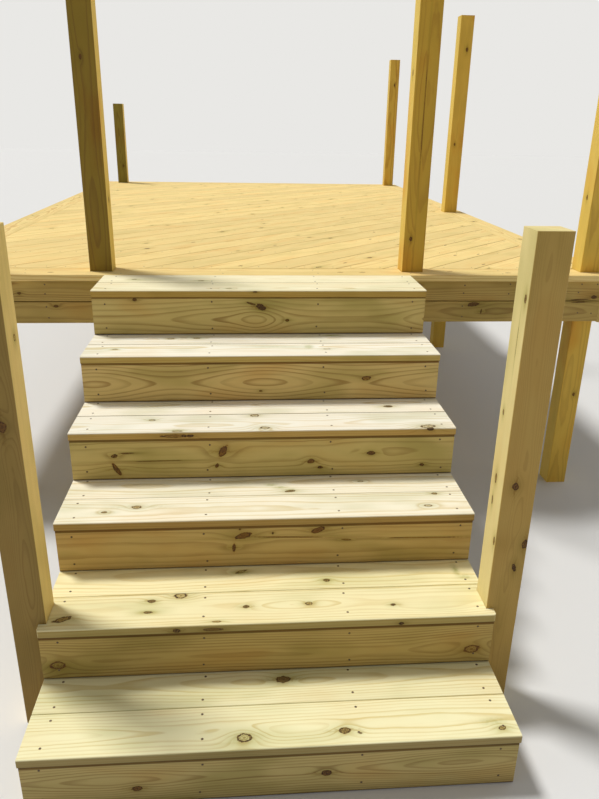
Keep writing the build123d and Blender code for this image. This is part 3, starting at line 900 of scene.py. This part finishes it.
# Deck screws: over the joists, how far from a board's middle, in board pitches,
# how far from the edges and posts, and how they stand along the border
JOIST_PITCH = 0.365125
JOIST_HALF = 0.75 * INCH
SCREW_OFFSET = 0.31
SCREW_MARGIN = 0.02
BOARDS_EACH_SIDE = 20
BORDER_SCREW_PITCH = 16 * INCH
BORDER_SCREW_START = 0.1
BORDER_SCREW_ROWS = (0.26, 0.74)


def nail_mesh(name, spots, radius):
    verts, faces, slots = [], [], []
    for point, normal in spots:
        side = normal.orthogonal().normalized()
        other = normal.cross(side)
        start = len(verts)
        for reach, rise in NAIL_PROFILE:
            for k in range(NAIL_SIDES):
                turn = 2 * math.pi * k / NAIL_SIDES
                verts.append(point + (side * math.cos(turn) + other * math.sin(turn)) * reach * radius
                             + normal * rise * radius)
        for r in range(len(NAIL_PROFILE) - 1):
            for k in range(NAIL_SIDES):
                a = start + r * NAIL_SIDES + k
                b = start + r * NAIL_SIDES + (k + 1) % NAIL_SIDES
                faces.append((a, b, b + NAIL_SIDES, a + NAIL_SIDES))
                slots.append(1 if r < WOOD_BANDS else 0)
        last = start + (len(NAIL_PROFILE) - 1) * NAIL_SIDES
        faces.append(tuple(range(last, last + NAIL_SIDES)))
        slots.append(0)
    mesh = bpy.data.meshes.new(name)
    mesh.from_pydata([tuple(v) for v in verts], [], faces)
    mesh.polygons.foreach_set("material_index", slots)
    mesh.update()
    nails = add_object(name, mesh)
    mesh.materials.append(NAIL_STEEL)
    mesh.materials.append(BRUISED_WOOD_AND_SHADE)
    for polygon in mesh.polygons:
        polygon.use_smooth = True
    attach(nails, "root")


def noisy_material(name, dark, pale, rough, scale, metal=0.0):
    material, graph, shader = new_material(name)
    place = graph.node("ShaderNodeTexCoord").outputs["Object"]
    speck = graph.noise(place, scale=scale, detail=3.0)
    graph.feed(shader.inputs["Base Color"], graph.mix(graph.smooth(speck, 0.35, 0.65), dark, pale))
    graph.feed(shader.inputs["Roughness"], graph.add(graph.mul(speck, 0.3), rough))
    shader.inputs["Metallic"].default_value = metal
    return material


NAIL_STEEL = noisy_material("nail_steel", srgb(68, 56, 42), srgb(112, 98, 78), 0.35, 900.0, 0.5)
# Bruised wood round the nail heads, dark partly as painted shade of the dimple
BRUISED_WOOD_AND_SHADE = noisy_material("bruised_wood", srgb(128, 98, 56), srgb(178, 148, 92), 0.7, 700.0)


def make_nails():
    chance = random.Random("nails")

    def near(value, spread):
        return value + chance.uniform(-spread, spread)

    treads, risers = [], []
    for step in range(1, STEPS + 1):
        low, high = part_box("tread_%d_front" % step)
        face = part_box("riser_%d" % step)[0].y
        for column in NAIL_COLUMNS:
            for row in TREAD_NAIL_ROWS:
                x = near(column, 0.2)
                treads.append((face_point(x, low.y + near(row, 0.15) * INCH, high.z), Z_AXIS))
            for row in RISER_NAIL_ROWS:
                x = near(column, 0.3)
                risers.append((face_point(x, face, high.z + near(row, 0.2) * INCH), -Y_AXIS))
    nail_mesh("tread_nails", treads, NAIL_RADIUS)
    nail_mesh("riser_nails", risers, NAIL_RADIUS)
    bands = []
    for x, z in BAND_NAILS:
        band = "band_front_upper" if z > BAND_SEAM else "band_front_lower"
        spot = flight_point(x, 0, z)
        spot.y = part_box(band)[0].y
        bands.append((spot, -Y_AXIS))
    nail_mesh("band_nails", bands, NAIL_RADIUS)
    nail_mesh("deck_screws", deck_screw_spots(near), SCREW_RADIUS)


# Two screws where each board of the deck crosses a joist, and pairs along the border
def deck_screw_spots(near):
    spots = []
    low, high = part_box("field_boards")
    centre = (low + high) / 2
    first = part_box("joists")[0].y + JOIST_HALF
    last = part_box("joists")[1].y - JOIST_HALF
    posts = [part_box(name) for name in frame["nodes"] if name.startswith(("head_post_", "post_"))]
    rows = round((last - first) / JOIST_PITCH)
    for row in range(rows + 1):
        y = first + (last - first) * row / rows
        if not low.y + SCREW_MARGIN < y < high.y - SCREW_MARGIN:
            continue
        for board in range(-BOARDS_EACH_SIDE, BOARDS_EACH_SIDE + 1):
            for side in (-SCREW_OFFSET, SCREW_OFFSET):
                v = (board + side) * BOARD_PITCH
                x = centre.x + (y - centre.y) - math.sqrt(2) * v
                spot = Vector((near(x, 0.006), near(y, 0.006), DECK_TOP))
                if low.x + SCREW_MARGIN < spot.x < high.x - SCREW_MARGIN and clear_of(spot, posts):
                    spots.append((spot, Z_AXIS))
    for name, along_x in (("border_front", True), ("border_back", True), ("border_left", False),
                          ("border_right", False)):
        low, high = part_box(name)
        size = high - low
        start, length = (low.x, size.x) if along_x else (low.y, size.y)
        count = int(length / BORDER_SCREW_PITCH)
        for k in range(count + 1):
            place = start + BORDER_SCREW_START + (length - 2 * BORDER_SCREW_START) * k / count
            for share in BORDER_SCREW_ROWS:
                if along_x:
                    spot = Vector((near(place, 0.01), near(low.y + size.y * share, 0.004), DECK_TOP))
                else:
                    spot = Vector((near(low.x + size.x * share, 0.004), near(place, 0.01), DECK_TOP))
                if clear_of(spot, posts):
                    spots.append((spot, Z_AXIS))
    return spots


def clear_of(spot, boxes):
    return all(not (low.x - SCREW_MARGIN < spot.x < high.x + SCREW_MARGIN
                    and low.y - SCREW_MARGIN < spot.y < high.y + SCREW_MARGIN) for low, high in boxes)


# Stage: floor, and an even sky
FLOOR_HALF = 40.0
FLOOR_COLOR = srgb(226, 225, 222)
SKY_COLOR = srgb(233, 232, 229)
FILL_STRENGTH = 0.24
# Lamps: strength, angle and where the light comes from. The key light is soft
# and comes from behind on the left
LAMPS = {
    "key": (2.45, 0.2, (-0.36, 0.24, 0.90)),
    "side_fill": (0.32, 1.2, (1.0, 0.15, 0.5)),
    "left_fill": (0.42, 0.8, (-1.0, 0.12, 0.3)),
}


def make_stage():
    mesh = bpy.data.meshes.new("floor")
    corners = [(x * FLOOR_HALF, y * FLOOR_HALF, 0) for x, y in ((-1, -1), (1, -1), (1, 1), (-1, 1))]
    mesh.from_pydata(corners, [], [(0, 1, 2, 3)])
    floor = add_object("floor", mesh)
    material, _, shader = new_material("pale_floor")
    shader.inputs["Base Color"].default_value = FLOOR_COLOR
    shader.inputs["Roughness"].default_value = 0.9
    mesh.materials.append(material)


# A wide soft lamp so far off that both ends of the deck get the same light
def make_light(name, strength, angle, source):
    data = bpy.data.lights.new(name, "SUN")
    data.energy = strength
    data.angle = angle
    light = add_object(name, data)
    light.rotation_mode = "QUATERNION"
    light.rotation_quaternion = Vector(source).to_track_quat("Z", "Y")


def make_sky():
    world = bpy.data.worlds.new("sky")
    bpy.context.scene.world = world
    world.use_nodes = True
    graph = Graph(world.node_tree)
    fill = world.node_tree.nodes["Background"]
    fill.inputs["Color"].default_value = (1.0, 1.0, 1.0, 1.0)
    fill.inputs["Strength"].default_value = FILL_STRENGTH
    seen = graph.node("ShaderNodeBackground")
    seen.inputs["Color"].default_value = SKY_COLOR
    seen.inputs["Strength"].default_value = 1.0
    paths = graph.node("ShaderNodeLightPath").outputs
    direct = graph.larger(paths["Is Camera Ray"],
                        graph.larger(paths["Is Glossy Ray"], paths["Is Transmission Ray"]))
    blend = graph.node("ShaderNodeMixShader")
    graph.feed(blend.inputs[0], direct)
    graph.feed(blend.inputs[1], fill.outputs[0])
    graph.feed(blend.inputs[2], seen.outputs[0])
    graph.feed(world.node_tree.nodes["World Output"].inputs["Surface"], blend.outputs[0])


make_camera()
dress_nodes()
make_nails()
make_stage()
for lamp, settings in LAMPS.items():
    make_light(lamp, *settings)
make_sky()
bpy.context.scene.view_settings.view_transform = "Standard"
